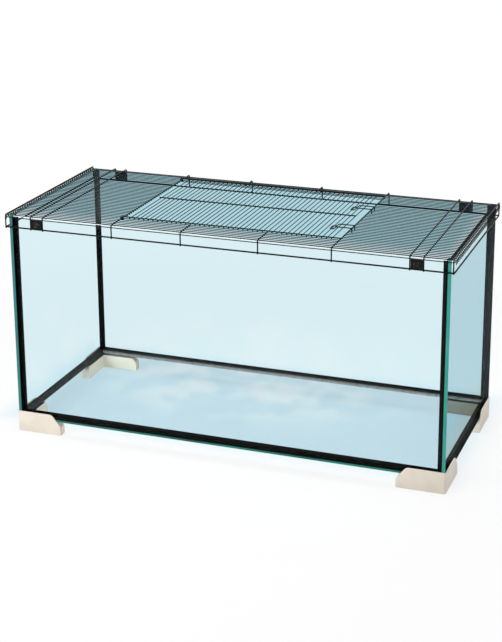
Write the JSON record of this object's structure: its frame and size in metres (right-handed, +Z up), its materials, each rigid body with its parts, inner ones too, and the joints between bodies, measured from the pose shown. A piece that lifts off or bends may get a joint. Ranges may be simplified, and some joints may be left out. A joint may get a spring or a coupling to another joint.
{
  "type": "rodent cage",
  "caption": "Glass tank on corner feet with a lift-off wire lid, a hinged wire door in the lid and side clips.",
  "frame": {"origin": "middle of the cage's footprint, on the surface that it stands on", "axes": "+X along the long side to the right, +Y to the back, +Z up"},
  "size_m": [1.019, 0.452, 0.5225],
  "materials": {
    "glass": "clear float glass, green at its cut edges",
    "silicone": "black silicone, satin",
    "foot_plastic": "beige moulded plastic",
    "clip_plastic": "black moulded plastic",
    "lid_wire": "dark powder coat",
    "door_wire": "dark powder coat",
    "latch_wire": "dark powder coat"
  },
  "bodies": {
    "tank": {"bottom_pane": "glass", "front_pane": "glass", "back_pane": "glass", "left_pane": "glass", "right_pane": "glass", "corner_seal_front_left": "silicone", "corner_seal_front_right": "silicone", "corner_seal_back_left": "silicone", "corner_seal_back_right": "silicone", "floor_seal_front": "silicone", "floor_seal_back": "silicone", "floor_seal_left": "silicone", "floor_seal_right": "silicone", "foot_front_left": "foot_plastic", "foot_front_right": "foot_plastic", "foot_back_left": "foot_plastic", "foot_back_right": "foot_plastic"},
    "lid": {"rim_wire": "lid_wire", "shoulder_wire": "lid_wire", "end_wires": "lid_wire", "clip_wires": "lid_wire", "hinge_wire": "lid_wire", "catch_wire": "lid_wire", "short_cross_wires": "lid_wire", "bars_front": "lid_wire", "bars_back": "lid_wire", "bars_left": "lid_wire", "bars_right": "lid_wire", "clip_plate_front_left": "clip_plastic", "clip_plate_front_right": "clip_plastic", "clip_plate_back_left": "clip_plastic", "clip_plate_back_right": "clip_plastic"},
    "door": {"door_bars": "door_wire", "door_front_rail": "door_wire", "door_middle_rail": "door_wire", "door_back_rail": "door_wire"},
    "latch_front": {"latch_front": "latch_wire"},
    "latch_back": {"latch_back": "latch_wire"},
    "tab_front_left": {"clip_tab_front_left": "clip_plastic"},
    "tab_front_right": {"clip_tab_front_right": "clip_plastic"},
    "tab_back_left": {"clip_tab_back_left": "clip_plastic"},
    "tab_back_right": {"clip_tab_back_right": "clip_plastic"}
  },
  "joints": [
    {"name": "lid_lift", "type": "slide", "parent": "tank", "child": "lid", "axis": [0, 0, 1], "range_m": [0, 0.12]},
    {"name": "door_swing", "type": "hinge", "parent": "lid", "child": "door", "pos_m": [-0.249, 0, 0.5177], "axis": [0, -1, 0], "range_deg": [0, 165]},
    {"name": "latch_front_flip", "type": "hinge", "parent": "door", "child": "latch_front", "pos_m": [0.209, -0.077, 0.5185], "axis": [0, -1, 0], "range_deg": [0, 130]},
    {"name": "latch_back_flip", "type": "hinge", "parent": "door", "child": "latch_back", "pos_m": [0.209, 0.077, 0.5185], "axis": [0, -1, 0], "range_deg": [0, 130]},
    {"name": "tab_front_left_swing", "type": "hinge", "parent": "lid", "child": "tab_front_left", "pos_m": [-0.4295, -0.2235, 0.5049], "axis": [-1, 0, 0], "range_deg": [0, 50]},
    {"name": "tab_front_right_swing", "type": "hinge", "parent": "lid", "child": "tab_front_right", "pos_m": [0.4295, -0.2235, 0.5049], "axis": [-1, 0, 0], "range_deg": [0, 50]},
    {"name": "tab_back_left_swing", "type": "hinge", "parent": "lid", "child": "tab_back_left", "pos_m": [-0.4295, 0.2235, 0.5049], "axis": [1, 0, 0], "range_deg": [0, 50]},
    {"name": "tab_back_right_swing", "type": "hinge", "parent": "lid", "child": "tab_back_right", "pos_m": [0.4295, 0.2235, 0.5049], "axis": [1, 0, 0], "range_deg": [0, 50]}
  ]
}
